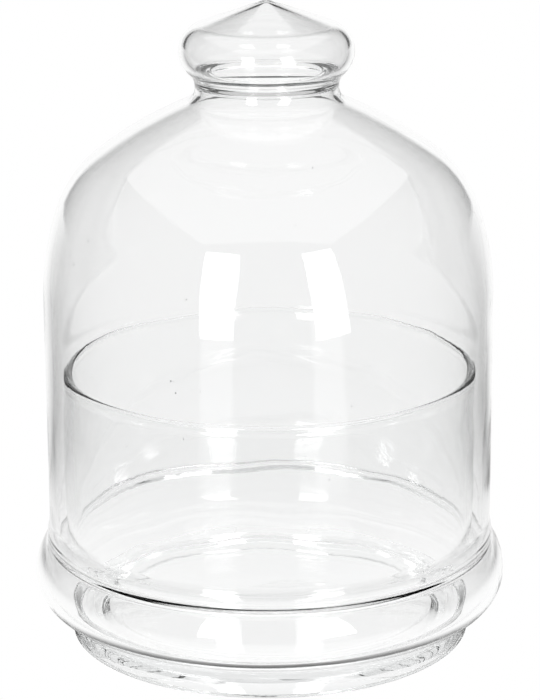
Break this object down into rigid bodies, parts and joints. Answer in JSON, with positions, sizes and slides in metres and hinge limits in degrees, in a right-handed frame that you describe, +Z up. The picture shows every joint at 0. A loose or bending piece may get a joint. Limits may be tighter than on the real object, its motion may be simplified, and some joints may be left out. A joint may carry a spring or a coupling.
{
  "type": "bell jar with collared glass base",
  "caption": "Clear glass bell jar: a round-shouldered dome with a hollow knob that lifts off a glass base with an upright collar, for covering and showing small things.",
  "frame": {"origin": "centre of the foot's underside, on the surface that the jar stands on", "axes": "+Z is up, along the axis of revolution of both pieces; X and Y are equivalent"},
  "size_m": [0.112, 0.112, 0.1511],
  "materials": {
    "dome_glass": "clear colourless blown soda-lime glass, fire polished, 1.8 mm wall",
    "base_glass": "clear colourless soda-lime glass, fire polished, 1.8 mm wall and thicker floor"
  },
  "bodies": {
    "base": {"base": "base_glass"},
    "dome": {"dome": "dome_glass"}
  },
  "joints": [
    {"name": "dome_lift", "type": "slide", "parent": "base", "child": "dome", "axis": [0, 0, 1], "range_m": [0, 0.06]}
  ]
}
